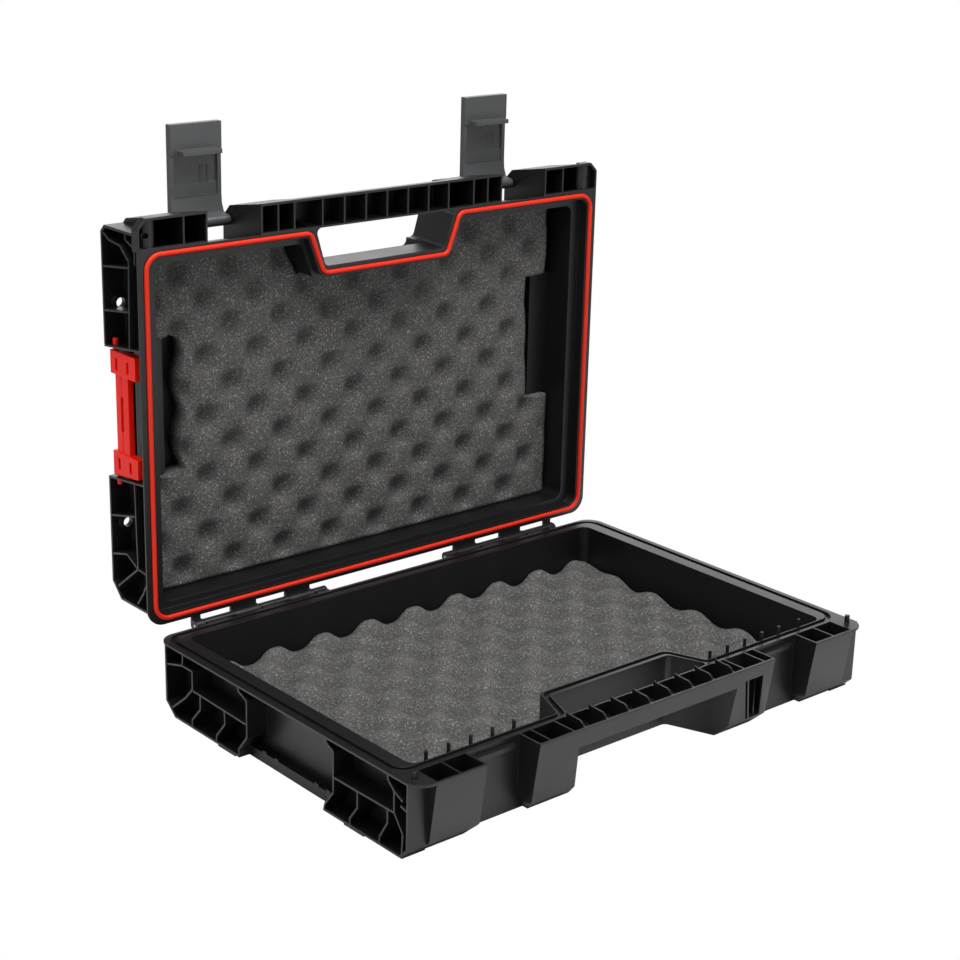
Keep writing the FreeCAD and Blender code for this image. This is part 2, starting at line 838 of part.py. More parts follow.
def lid_shell():
    height = lid_height
    step = lid_step_depth
    block = block_outline(height, lid_lean, lid_edge, lid_front_wall + skin)
    solids = [box(-pan_outer, pan_outer, lid_front_wall, back_face, 0, height)]
    solids.append(rounded_plate(lid_rim_corners(), 0, flange))
    solids += both_sides([corner_wall()])
    solids.append(band_plate(seal_corners(), -lip_half, lip_half, 0, lid_groove + groove_wall))
    solids.append(offset_plate(seal_corners(), -groove_half, 0, step + rib))
    solids += front_blocks(block)
    solids += both_sides([box(recess_inner, recess_outer, lid_recess_rim, lid_front_wall + skin, 0, height)])
    solids.append(heel_band(height, lid_heel_rise, lid_heel_run))
    solids += both_sides(lid_side_parts(height))
    solids += hinge_knuckles("lid", lid_hinge_depth)
    shell = fuse(solids)

    ring_low = lid_groove + groove_wall + rib
    bottom = height - lid_cell_floor
    cell_end = [(lid_front_wall, bottom), (cell_back, ring_low), (cell_back, -overrun)]
    cells = cell_outline(height, lid_lean, lid_edge, lid_cell_floor, cell_end)
    pan = pan_corners(lid_front_wall + skin, back_face - skin, lip_half + skin)
    heel = heel_corner(height, lid_heel_rise, lid_heel_run, skin)
    cuts = [rounded_plate(pan, -overrun, height - panel).cut([heel] + side_bosses(height))]
    cuts.append(offset_plate(seal_corners(), -lip_half, -overrun, step))
    cuts.append(band_plate(seal_corners(), -groove_half, groove_half, -overrun, lid_groove))
    cuts.append(window_plate(lid_window_flare, bar_back, -overrun, height + overrun))
    cuts.append(window_plate(lid_window_flare, -window_edge - overrun, lid_bar_depth, height + overrun))
    taper = window_taper(lid_window_flare, -window_edge - overrun, lid_window_draft, height, 0)
    cuts.append(taper.common(box(-case_width, case_width, -case_depth, case_depth, lid_bar_depth, case_depth)))
    taper = window_taper(lid_window_flare, bar_back, lid_window_draft, height, 0)
    cuts.append(taper)
    cuts.append(notch_core(height, step + rib))
    cuts.append(lid_shelf_cut())
    cuts += cell_cuts(cells, lid_rib_shares, lid_window_flare, lid_window_draft, height)
    slope = [(-overrun, -overrun), (lid_recess_rim, -overrun), (lid_recess_rim, 0),
             (lid_front_wall, height), (lid_front_wall, height + overrun), (-overrun, height + overrun)]
    cuts += both_sides([side_plate(slope, recess_inner, recess_outer)])
    cuts.append(heel_cut(height, lid_heel_rise, lid_heel_run))
    cuts.append(panel_field(height))
    cuts.append(bar_trough(lid_window_flare, lid_rib_shares, lid_bar_depth, lid_slope))
    cuts += hinge_bores(lid_hinge_depth)
    cuts += pegs(peg_clearance, -overrun, peg_height)
    cuts += both_sides(lid_side_cuts(height) + [corner_cell()])
    shell = shell.cut(cuts)
    return fuse([shell] + bar_ribs() + both_sides([corner_arch()])).removeSplitter()


def lid_side_parts(height):
    parts = side_skins(height, lid_corner_front, lid_lean + lid_edge - lid_corner_front)
    parts += side_ribs(lid_front_shares, block_end_line, lid_corner_front, height)
    parts += side_ribs(lid_back_shares, back_block_line, back_face - skin, height)
    for line in (block_end_line, back_block_line):
        wall = [(end_wall_line(line, 0), 0), (end_wall_line(line, height), height - skin / 2)]
        parts += rib_run(wall, -half_width, -pan_side)
    for line in (front_hole_line, back_hole_line):
        low = height - skin - hole_boss_height
        parts.append(Part.makeCylinder(hole_boss_radius, hole_boss_height + skin / 2, V(-hole_side, line, low)))
    return parts


def end_wall_line(line, depth):
    # The walls beside the side clips lean: further back at the outer panel.
    return line + wall_slant * (depth / lid_height - clip_pivot_depth / lid_height)


def side_bosses(height):
    y0 = block_end_line - boss_inset
    y1 = back_block_line + boss_inset
    return both_sides([box(-pan_side - overrun, boss_reach - pan_side, y0, y1, boss_depth, height)])


def lid_side_cuts(height):
    # Cuts at the left: holes, latch pin bores, clip bores, boss hollow, tooth relief.
    cuts = []
    for line in (front_hole_line, back_hole_line):
        cuts.append(Part.makeCylinder(hole_radius, hole_boss_height + skin + overrun + overrun,
                                      V(-hole_side, line, height - skin - hole_boss_height - overrun)))
    start = -recess_outer - latch_pin_reach - overrun
    end = -recess_inner + latch_pin_reach + overrun
    cuts.append(Part.makeCylinder(latch_pin_radius + pin_fit, end - start,
                                  V(start, latch_pivot_line, latch_pivot_depth), across))
    for line in (block_end_line, back_block_line):
        bore_start = V(-clip_side, line - wall_slant, clip_pivot_depth)
        cuts.append(Part.makeCylinder(stub_radius + pin_fit, wall_slant + wall_slant, bore_start, inward))
    y0 = block_end_line - boss_inset + skin
    y1 = back_block_line + boss_inset - skin
    cuts.append(box(-pan_outer - overrun, boss_reach - skin - pan_side, y0 + rib, y1 - rib,
                    boss_depth + skin, height - panel - skin))
    tooth = tooth_pitch * teeth_per_side - tooth_pitch / 2
    half = rib / 2 + tooth_relief
    cuts.append(box(-tooth - half, half - tooth, tooth_front - tooth_relief, tooth_back + tooth_relief,
                    -overrun, tooth_rise + tooth_relief))
    return cuts


def bar_ribs():
    ribs = []
    low = lid_bar_depth - skin / 2
    back = bar_back - bar_wall / 2
    outline = [(skin / 2, 0), (skin / 2 + lid_slope * low, low), (back, low), (back, 0)]
    for i in range(-bar_ribs_per_side, bar_ribs_per_side + 1):
        x = bar_rib_pitch * i
        ribs.append(side_plate(outline, x - rib / 2, x + rib / 2))
    return ribs


def corner_wall():
    # The wall under the lid's rim round each cut corner, with a floor to its cell.
    reach = box(-half_width, rib - block_outer, 0, cell_back + skin, 0, arch_depth)
    outer = rounded_plate(lid_rim_corners(), 0, arch_depth)
    inner = offset_plate(lid_rim_corners(), -skin, -overrun, arch_depth - rib)
    return outer.cut(inner).common(reach)


def corner_cell():
    # The open cell inside the cut corner, down to its floor.
    outer_rib = recess_outer + lid_rib_shares[0] * (block_outer - recess_outer)
    reach = box(-half_width, -outer_rib - rib / 2, 0, cell_back, -overrun, arch_depth - rib)
    return offset_plate(lid_rim_corners(), -skin, -overrun, arch_depth).common(reach)


def corner_arch():
    # The half-round skin over the block's end wall, across the corner cell.
    y0 = skin / 2
    y1 = cell_back + skin / 2
    foot = V(-arch_side, y0, arch_depth)
    tube = Part.makeCylinder(arch_radius, y1 - y0, foot, inward)
    bore = Part.makeCylinder(arch_radius - rib, y1 - y0, foot, inward)
    outer = rounded_plate(lid_rim_corners(), 0, arch_depth)
    holes = pegs(peg_clearance, -overrun, peg_height)
    return tube.common(outer).cut([bore] + holes)


# Seal and foams

def lid_seal():
    depth = seal_radius - seal_proud
    path = rounded_wire(seal_corners(), depth)
    middle = V(0, seal_back, depth)
    ring = Part.Wire(Part.makeCircle(seal_radius, middle, across))
    edges = [edge for edge in path.OrderedEdges]
    longest = max(edges, key=lambda edge: edge.CenterOfMass.y)
    start = edges.index(longest)
    half_a = Part.makeLine(middle, V(seal_side - seal_corner, seal_back, depth))
    half_b = Part.makeLine(V(seal_corner - seal_side, seal_back, depth), middle)
    rest = [edge for i, edge in enumerate(edges) if i != start]
    loop = Part.Wire(Part.__sortEdges__([half_a] + rest + [half_b]))
    return loop.makePipeShell([ring], True, False)


def wave_sheet(mean_depth, wave):
    # An egg-crate surface with bumps at every other crossing of a square grid.
    # A pole of this smooth surface stands four times as high as the bump it makes.
    degree = 2
    margin = degree + degree
    lift = margin * wave / 2
    columns = math.ceil(case_width / foam_pitch) + margin
    rows = math.ceil(case_depth / foam_pitch) + margin
    poles = []
    for i in range(columns):
        x = foam_pitch * (i - (columns - 1) / 2)
        line = [V(x, foam_pitch * (j - degree), mean_depth + lift * (-1) ** (i + j)) for j in range(rows)]
        poles.append(line)
    sheet = Part.BSplineSurface()
    knots = [list(range(count - degree + 1)) for count in (columns, rows)]
    repeats = [[degree + 1] + [1] * (len(values) - 2) + [degree + 1] for values in knots]
    sheet.buildFromPolesMultsKnots(poles, repeats[0], repeats[1], knots[0], knots[1], False, False, degree, degree)
    return sheet.toShape()


def foam_pad(outline, side_gap, height, pad_height, wave, holes):
    bottom = height - panel - foam_gap
    block = offset_plate(outline, -side_gap, 0, bottom)
    block = block.cut(holes)
    below = wave_sheet(bottom - pad_height, wave).extrude(V(0, 0, height + base_height))
    return block.common(below)


def base_foam():
    tray = pan_corners(tray_front, back_face - skin, lip_half)
    heel = heel_corner(base_height, base_heel_rise, base_heel_run, skin + foam_gap)
    return foam_pad(tray, foam_gap, base_height, base_foam_height, base_foam_wave, [heel])


def lid_foam():
    pan = pan_corners(lid_front_wall + skin, back_face - skin, lip_half + skin)
    y0 = block_end_line - boss_inset - foam_gap
    y1 = back_block_line + boss_inset + foam_gap
    holes = both_sides([box(-case_width, boss_reach + boss_foam_gap - pan_side, y0, y1, 0, lid_height)])
    holes.append(heel_corner(lid_height, lid_heel_rise, lid_heel_run, skin + foam_gap))
    return foam_pad(pan, lid_foam_gap, lid_height, lid_foam_height, lid_foam_wave, holes)


# Latches and clips, drawn closed at the left

def latch_slab(points, x0, x1):
    # A polygon of (reach, stand) points from the pivot, carried along x.
    turned = [(latch_pivot_line - stand, latch_pivot_depth - reach) for reach, stand in points]
    return side_plate(turned, x0, x1)


def latch_block(r0, r1, s0, s1, x0, x1):
    return latch_slab([(r0, s0), (r0, s1), (r1, s1), (r1, s0)], x0, x1)


def latch():
    x0 = -recess_outer + latch_side_gap
    x1 = -recess_inner - latch_side_gap
    inner = latch_stand
    outer = latch_outer_stand
    barrel_start = V(x0, latch_pivot_line, latch_pivot_depth)
    foot = [(r * latch_foot_reach, s * outer) for r, s in latch_foot_shares]
    hook_foot = hook_reach + hook_thickness
    solids = [
        latch_block(latch_foot_reach, latch_reach, outer - latch_skin, outer, x0, x1),
        latch_block(hook_reach, latch_reach, inner, outer, x0, x1),
        latch_block(latch_foot_reach, latch_reach, inner + latch_step_drop, outer, x0, x0 + latch_rim),
        latch_block(latch_foot_reach, latch_reach, inner + latch_step_drop, outer, x1 - latch_rim, x1),
        latch_block(latch_foot_reach, latch_step_reach, inner + latch_step_drop + latch_step_drop, outer, x0, x1),
        latch_slab(foot, x0, x1),
        Part.makeCylinder(latch_barrel, x1 - x0, barrel_start, across),
        latch_block(hook_reach, hook_foot, -hook_stand, inner, x0 + hook_side_gap, x1 - hook_side_gap),
    ]
    for share in latch_ridge_shares:
        x = x0 + share * (x1 - x0)
        solids.append(latch_block(latch_step_reach, latch_ridge_end, inner + latch_step_drop + latch_step_drop,
                                  outer, x - latch_ridge / 2, x + latch_ridge / 2))
    bore = Part.makeCylinder(latch_pin_radius + pin_fit, case_width,
                             V(-case_width, latch_pivot_line, latch_pivot_depth), across)
    return fuse(solids).cut(bore).removeSplitter()


def latch_pin():
    start = V(-recess_outer - latch_pin_reach, latch_pivot_line, latch_pivot_depth)
    return Part.makeCylinder(latch_pin_radius, recess_width + latch_pin_reach + latch_pin_reach, start, across)


def clip_head(line, away, end_gap, slant):
    # One wide end of the clip; its end face leans by the slant over the lid's height.
    gap = (rib / 2 + end_gap) * away
    lean = slant / lid_height
    near = line + gap + lean * (clip_near - clip_pivot_depth)
    far = line + gap + lean * (clip_far - clip_pivot_depth)
    reach = clip_head_length * away
    points = [(near, clip_near), (far, clip_far), (line + reach, clip_far), (line + reach, clip_near)]
    x0 = -clip_side - clip_thickness / 2
    head = side_plate(points, x0, x0 + clip_thickness)
    cuts = []
    slot_line = line + gap + clip_slot_inset * away
    for share in clip_slot_shares:
        depth = clip_near + share * (clip_far - clip_near)
        cuts.append(box(x0 - overrun, x0 + clip_slot_depth,
                        slot_line - clip_slot_length / 2, slot_line + clip_slot_length / 2,
                        depth - clip_slot_width / 2, depth + clip_slot_width / 2))
    stub = Part.makeCylinder(stub_radius, stub_reach + end_gap + clip_slot_inset,
                             V(-clip_side, slot_line, clip_pivot_depth), V(0, -away, 0))
    return head.cut(cuts).fuse(stub)


def clip():
    x0 = -clip_side - clip_thickness / 2
    x1 = x0 + clip_thickness
    start = block_end_line + clip_head_length
    end = back_block_line - clip_head_length
    span = clip_far - clip_near
    neck = box(x0 + clip_neck_inset, x1 - clip_neck_inset, start - skin, end + skin,
               clip_near + clip_neck_near_share * span, clip_near + clip_neck_far_share * span)
    middle = (start + end) / 2
    depth = clip_near + clip_slit_share * span
    cuts = []
    for length, width, low in ((clip_slit_length, clip_slit_width, x1 + overrun),
                               (end - start, clip_groove_width, x0 + clip_neck_inset + clip_groove_depth)):
        cuts.append(box(x0 - overrun, low, middle - length / 2, middle + length / 2,
                        depth - width / 2, depth + width / 2))
    front_head = clip_head(block_end_line, 1, clip_front_gap, 0)
    back_head = clip_head(back_block_line, -1, clip_back_gap, wall_slant)
    return fuse([neck, front_head, back_head]).cut(cuts).removeSplitter()


# Placing the pieces in the standing frame

def to_origin(shape):
    shape.translate(V(0, -middle_y, 0))
    return shape


def place_base(shape):
    turned = shape.mirror(centre, up)
    turned.translate(V(0, 0, base_rim_z))
    return to_origin(turned)


def open_lid(shape):
    # Closed on the base first, then opened a quarter turn about the hinge.
    moved = shape.copy()
    moved.translate(V(0, 0, lid_rim_z))
    moved.rotate(V(0, hinge_line, hinge_z), across, -right_angle)
    return to_origin(moved)


def open_latch(shape):
    turned = shape.copy()
    turned.rotate(V(0, latch_pivot_line, latch_pivot_depth), across, -right_angle)
    return open_lid(turned)


def mirrored(shape):
    return shape.mirror(centre, across)


def at_right_recess(shape):
    # Both latches are the same part, so the right one isn't mirrored.
    moved = shape.copy()
    moved.translate(V(latch_line + latch_line, 0, 0))
    return moved


def main():
    os.makedirs("parts", exist_ok=True)
    nodes = {
        "base_shell": place_base(base_shell()),
        "lid_shell": open_lid(lid_shell()),
        "lid_seal": open_lid(lid_seal()),
        "base_foam": place_base(base_foam()),
        "lid_foam": open_lid(lid_foam()),
        "right_hinge_pin": place_base(hinge_pin()),
        "left_hinge_pin": place_base(mirrored(hinge_pin())),
        "left_latch": open_latch(latch()),
        "right_latch": open_latch(at_right_recess(latch())),
        "left_latch_pin": open_lid(latch_pin()),
        "right_latch_pin": open_lid(mirrored(latch_pin())),
        "left_clip": open_lid(clip()),
        "right_clip": open_lid(mirrored(clip())),
    }
    for name, shape in nodes.items():
        shape.exportStep("parts/" + name + ".step")
        bounds = shape.BoundBox
        print(name, shape.ShapeType, len(shape.Solids), shape.isValid(), round(shape.Volume),
              round(bounds.YMin), round(bounds.YMax), round(bounds.ZMin), round(bounds.ZMax))


main()
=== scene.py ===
import math

import bmesh
import bpy
import numpy as np
from mathutils import Matrix, Vector

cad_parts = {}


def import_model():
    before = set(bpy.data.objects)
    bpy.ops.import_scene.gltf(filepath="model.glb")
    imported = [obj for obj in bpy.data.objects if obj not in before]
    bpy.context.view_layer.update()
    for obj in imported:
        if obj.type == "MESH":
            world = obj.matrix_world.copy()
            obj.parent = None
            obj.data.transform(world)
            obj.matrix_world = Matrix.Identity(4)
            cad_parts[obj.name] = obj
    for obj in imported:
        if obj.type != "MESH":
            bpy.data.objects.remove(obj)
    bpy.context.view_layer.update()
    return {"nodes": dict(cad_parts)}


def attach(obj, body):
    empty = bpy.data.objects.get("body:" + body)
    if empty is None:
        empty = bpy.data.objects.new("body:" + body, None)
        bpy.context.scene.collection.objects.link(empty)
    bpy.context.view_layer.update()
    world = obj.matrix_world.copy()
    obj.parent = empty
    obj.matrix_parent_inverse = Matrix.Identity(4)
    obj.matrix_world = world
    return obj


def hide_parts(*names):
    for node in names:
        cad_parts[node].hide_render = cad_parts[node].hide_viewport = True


# Hard tool case, standing open. Lengths in the tables are in millimetres, meshes in metres.
# +X is right, +Y back, +Z up; the origin is on the floor under the case.

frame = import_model()
nodes = frame["nodes"]
mm = 0.001

# The case's middle, and where the standing lid's rim lies
case = {"middleY": 188.6, "lidRimY": 321.9, "lidRimZ": 373.7}


# Shader helpers

def linear(code):
    # Linear light from an sRGB hex colour.
    parts = [int(code[i:i + 2], 16) / 255 for i in (1, 3, 5)]
    return [c / 12.92 if c <= 0.04045 else ((c + 0.055) / 1.055) ** 2.4 for c in parts] + [1.0]


def addNode(tree, kind, inputs=None, **settings):
    # Adds one shader node, sets its options, then its sockets to values or links.
    node = tree.nodes.new(kind)
    for key, value in settings.items():
        setattr(node, key, value)
    for key, value in (inputs or {}).items():
        if isinstance(value, bpy.types.NodeSocket):
            tree.links.new(value, node.inputs[key])
        else:
            node.inputs[key].default_value = value
    return node


def newMaterial(name):
    material = bpy.data.materials.new(name)
    material.use_nodes = True
    tree = material.node_tree
    tree.nodes.clear()
    output = addNode(tree, "ShaderNodeOutputMaterial")
    surface = addNode(tree, "ShaderNodeBsdfPrincipled")
    tree.links.new(surface.outputs["BSDF"], output.inputs["Surface"])
    return material, tree, surface


def mouldedPlastic(name, colour, roughness, grainSize, grainDepth, gloss=0.5):
    # Injection-moulded polypropylene or polyamide: a fine spark-eroded grain, drawn coarser than
    # the real 0.1 mm so that it shows, and slight sink marks about 45 mm wide.
    material, tree, surface = newMaterial(name)
    place = addNode(tree, "ShaderNodeTexCoord").outputs["Object"]
    grain = addNode(tree, "ShaderNodeTexNoise", {"Vector": place, "Scale": 1 / (grainSize * mm), "Detail": 3.0})
    sink = addNode(tree, "ShaderNodeTexNoise", {"Vector": place, "Scale": 1 / (45 * mm), "Detail": 2.0})
    rough = addNode(tree, "ShaderNodeMapRange", {"Value": sink.outputs["Fac"], "From Min": 0.3, "From Max": 0.7,
                                                 "To Min": roughness - 0.02, "To Max": roughness + 0.03})
    broad = addNode(tree, "ShaderNodeBump", {"Height": sink.outputs["Fac"], "Strength": 0.1,
                                             "Distance": 0.3 * mm})
    fine = addNode(tree, "ShaderNodeBump", {"Height": grain.outputs["Fac"], "Strength": 0.35,
                                            "Distance": grainDepth * mm, "Normal": broad.outputs["Normal"]})
    surface.inputs["Base Color"].default_value = linear(colour)
    surface.inputs["IOR"].default_value = 1.49
    surface.inputs["Specular IOR Level"].default_value = gloss
    tree.links.new(rough.outputs["Result"], surface.inputs["Roughness"])
    tree.links.new(fine.outputs["Normal"], surface.inputs["Normal"])
    return material


def foamRubber(name, darkColour, lightColour, paintedGlintColour, paintedPitShade):
    # Open-cell polyurethane foam: pores of about 0.8 mm, drawn twice as coarse so that they show,
    # with lit cell walls between, a few painted glints, and painted shade darkening the colour down in the pits.
    material, tree, surface = newMaterial(name)
    place = addNode(tree, "ShaderNodeTexCoord").outputs["Object"]
    pores = addNode(tree, "ShaderNodeTexVoronoi", {"Vector": place, "Scale": 1 / (1.6 * mm)})
    speck = addNode(tree, "ShaderNodeTexNoise", {"Vector": place, "Scale": 1 / (1.3 * mm), "Detail": 4.0,
                                                 "Roughness": 0.8})
    ramp = addNode(tree, "ShaderNodeMapRange", {"Value": speck.outputs["Fac"], "From Min": 0.34, "From Max": 0.66})
    walls = addNode(tree, "ShaderNodeMix", {"Factor": ramp.outputs["Result"]}, data_type="RGBA")
    walls.inputs["A"].default_value = linear(darkColour)
    walls.inputs["B"].default_value = linear(lightColour)
    # Painted glints: a few bright specks mixed into the colour stand in for light caught by the foam's cells.
    glint = addNode(tree, "ShaderNodeTexNoise", {"Vector": place, "Scale": 1 / (1.5 * mm), "Detail": 2.0})
    few = addNode(tree, "ShaderNodeMapRange", {"Value": glint.outputs["Fac"], "From Min": 0.55, "From Max": 0.78})
    mix = addNode(tree, "ShaderNodeMix", {"Factor": few.outputs["Result"], "A": walls.outputs["Result"]},
                  data_type="RGBA")
    mix.inputs["B"].default_value = linear(paintedGlintColour)
    # Painted shade: the colour is darkened down in the pits, by how far each point stands above them.
    lift = addNode(tree, "ShaderNodeAttribute", attribute_name="lift").outputs["Fac"]
    shade = addNode(tree, "ShaderNodeMapRange", {"Value": lift, "To Min": paintedPitShade, "To Max": 1.0})
    shaded = addNode(tree, "ShaderNodeVectorMath", {0: mix.outputs["Result"]}, operation="SCALE")
    tree.links.new(shade.outputs["Result"], shaded.inputs["Scale"])
    cells = addNode(tree, "ShaderNodeBump", {"Height": pores.outputs["Distance"], "Strength": 0.5,
                                             "Distance": 0.4 * mm})
    bump = addNode(tree, "ShaderNodeBump", {"Height": speck.outputs["Fac"], "Strength": 0.5,
                                            "Distance": 0.5 * mm, "Normal": cells.outputs["Normal"]})
    tree.links.new(shaded.outputs["Vector"], surface.inputs["Base Color"])
    tree.links.new(bump.outputs["Normal"], surface.inputs["Normal"])
    surface.inputs["Roughness"].default_value = 1.0
    surface.inputs["IOR"].default_value = 1.5
    surface.inputs["Specular IOR Level"].default_value = 0.1
    return material


def sealRubber(name, colour):
    # Extruded silicone bead with a soft sheen.
    material, tree, surface = newMaterial(name)
    place = addNode(tree, "ShaderNodeTexCoord").outputs["Object"]
    skin = addNode(tree, "ShaderNodeTexNoise", {"Vector": place, "Scale": 1 / (6 * mm), "Detail": 2.0})
    bump = addNode(tree, "ShaderNodeBump", {"Height": skin.outputs["Fac"], "Strength": 0.2, "Distance": 0.3 * mm})
    surface.inputs["Base Color"].default_value = linear(colour)
    surface.inputs["Roughness"].default_value = 0.5
    surface.inputs["IOR"].default_value = 1.41
    surface.inputs["Specular IOR Level"].default_value = 0.25
    tree.links.new(bump.outputs["Normal"], surface.inputs["Normal"])
    return material


def drawnSteel(name, colour):
    # Drawn steel wire with fine lines along its length, 0.3 mm apart.
    material, tree, surface = newMaterial(name)
    place = addNode(tree, "ShaderNodeTexCoord").outputs["Object"]
    stretch = addNode(tree, "ShaderNodeMapping", {"Vector": place, "Scale": (0.03, 1.0, 1.0)})
    lines = addNode(tree, "ShaderNodeTexNoise", {"Vector": stretch.outputs["Vector"], "Scale": 1 / (0.3 * mm)})
    rough = addNode(tree, "ShaderNodeMapRange", {"Value": lines.outputs["Fac"], "To Min": 0.22, "To Max": 0.4})
    surface.inputs["Base Color"].default_value = linear(colour)
    surface.inputs["Metallic"].default_value = 1.0
    tree.links.new(rough.outputs["Result"], surface.inputs["Roughness"])
    return material


materials = {
    "shell": mouldedPlastic("blackPolypropylene", "#0a0a0b", 0.38, 0.5, 0.04, 0.42),
    "latch": mouldedPlastic("greyPolyamide", "#363738", 0.4, 0.6, 0.04),
    "clip": mouldedPlastic("redPolyamide", "#cb1205", 0.4, 0.6, 0.03, 0.2),
    "seal": sealRubber("redSilicone", "#b9220d"),
    # Foam: the third colour is painted glints, and the last number is the painted shade in the pits.
    "foam": foamRubber("greyFoam", "#2e2e2e", "#5b5a59", "#868480", 0.72),
    "pin": drawnSteel("drawnSteelWire", "#b4b6b9"),
}


# Mesh helpers

# Seams closer than the merge are joined; edges sharper than the angle are rounded.
edges = {"merge": 0.002, "angle": 38, "segments": 2, "shell": 0.2, "small": 0.4}


def newObject(name, mesh, material, body):
    for polygon in mesh.polygons:
        polygon.use_smooth = True
    thing = bpy.data.objects.new(name, mesh)
    bpy.context.scene.collection.objects.link(thing)
    mesh.materials.clear()
    mesh.materials.append(material)
    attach(thing, body)
    return thing


def softenedCopy(nodeName, body, slot, width):
    # A copy of a CAD node with merged seams and small rounded edges.
    mesh = nodes[nodeName].data.copy()
    mesh.name = nodeName + "Soft"
    work = bmesh.new()
    work.from_mesh(mesh)
    bmesh.ops.remove_doubles(work, verts=work.verts, dist=edges["merge"] * mm)
    work.to_mesh(mesh)
    work.free()
    thing = newObject(nodeName + "Soft", mesh, materials[slot], body)
    bevel = thing.modifiers.new("edges", "BEVEL")
    bevel.width = width * mm
    bevel.segments = edges["segments"]
    bevel.limit_method = "ANGLE"
    bevel.angle_limit = math.radians(edges["angle"])
    bevel.use_clamp_overlap = False
    normals = thing.modifiers.new("normals", "WEIGHTED_NORMAL")
    normals.keep_sharp = True
    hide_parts(nodeName)


def meshFrom(name, points, faces):
    mesh = bpy.data.meshes.new(name)
    mesh.from_pydata(points.reshape(-1, 3).tolist(), [], faces.tolist())
    mesh.validate()
    mesh.update()
    return mesh


def gridSolid(x, y, top, bottom, cells):
    # Closed solid from a grid: x, y, top and bottom per corner, and a mask of cells.
    rows, columns = x.shape
    count = rows * columns
    index = np.arange(count).reshape(rows, columns)
    points = np.concatenate([np.stack([x, y, top], -1).reshape(-1, 3), np.stack([x, y, bottom], -1).reshape(-1, 3)])
    a, b = index[:-1, :-1], index[:-1, 1:]
    c, d = index[1:, 1:], index[1:, :-1]
    upper = np.stack([a, b, c, d], -1)[cells]
    lower = np.stack([a, d, c, b], -1)[cells] + count
    padded = np.pad(cells, 1)
    walls = []
    for shift, first, second in (((-1, 0), a, b), ((0, 1), b, c), ((1, 0), c, d), ((0, -1), d, a)):
        beside = padded[1 + shift[0]:rows + shift[0], 1 + shift[1]:columns + shift[1]]
        edge = cells & ~beside
        walls.append(np.stack([second[edge], first[edge], first[edge] + count, second[edge] + count], -1))
    faces = np.concatenate([upper, lower] + walls)
    used = np.unique(faces)
    renumber = np.zeros(count * 2, int)
    renumber[used] = np.arange(len(used))
    return points[used], renumber[faces]


# Foam pads

def bossReach(pad):
    return pad["notchBackHalf"] + pad["bossShare"] * (pad["side"] - pad["notchBackHalf"])


def ripple(x, y, pad):
    # Peaks and pits in staggered rows: a product of two cosines, from a peak at the start,
    # pressed flatter along the pad's right side, where it was cut and rubs on wall and boss.
    pitchX, pitchY = pad["pitch"]
    startX, startY = pad["peak"]
    field = np.cos(math.pi * (x - startX) / pitchX) * np.cos(math.pi * (y - startY) / pitchY)
    beside = (y > pad["bossFrom"]) & (y < pad["bossTo"])
    end = np.where(beside, bossReach(pad), pad["side"])
    return field * (pad["flatShare"] + (1 - pad["flatShare"]) * np.clip((end - x) / pad["flatWidth"], 0, 1))


def crate(x, y, pad):
    # Rounded peaks and pits: the sine of the ripple times the press flattens both a little.
    return pad["wave"] / 2 * np.sin(ripple(x, y, pad) * pad["press"]) / math.sin(pad["press"])


def dimples(x, y, pad):
    # A nearly level face with separate round pits: a power of the ripple's low half.
    field = ripple(x, y, pad)
    pit = np.clip(-field, 0, 1) ** pad["pitPower"]
    return pad["wave"] * (0.5 - pit + pad["peakShare"] * np.clip(field, 0, 1))


def trimmed(x, y, pad):
    # The pad's right side is cut a little askew: short by the trim up to one line, full from the next.
    short = np.clip((pad["trimEnd"] - y) / (pad["trimEnd"] - pad["trimStart"]), 0, 1)
    return x - pad["trim"] * short * np.clip(x / pad["side"], 0, 1) ** 2


def widened(x, y, pad):
    # The cut beside the left boss is wide, and its edge waves with the cells.
    wide = pad["cutWide"] + pad["cutWave"] * np.cos(math.pi * (y - pad["cutPeak"]) / pad["pitch"][1])
    near = np.clip(1 - np.abs(x + bossReach(pad)) / pad["cutBlend"], 0, 1)
    beside = (y > pad["bossFrom"]) & (y < pad["bossTo"])
    return x + np.where(beside, wide * near, 0)


def markLift(mesh, heights, low, high):
    # How far each point stands above the pits, from 0 to 1, for the shader's painted shade in the pits.
    lift = mesh.attributes.new("lift", "FLOAT", "POINT")
    lift.data.foreach_set("value", np.clip((heights - low) / (high - low), 0, 1).astype(np.float32))


def fillSteps(start, end, step):
    return np.linspace(start, end, max(2, int(round((end - start) / step)) + 1))


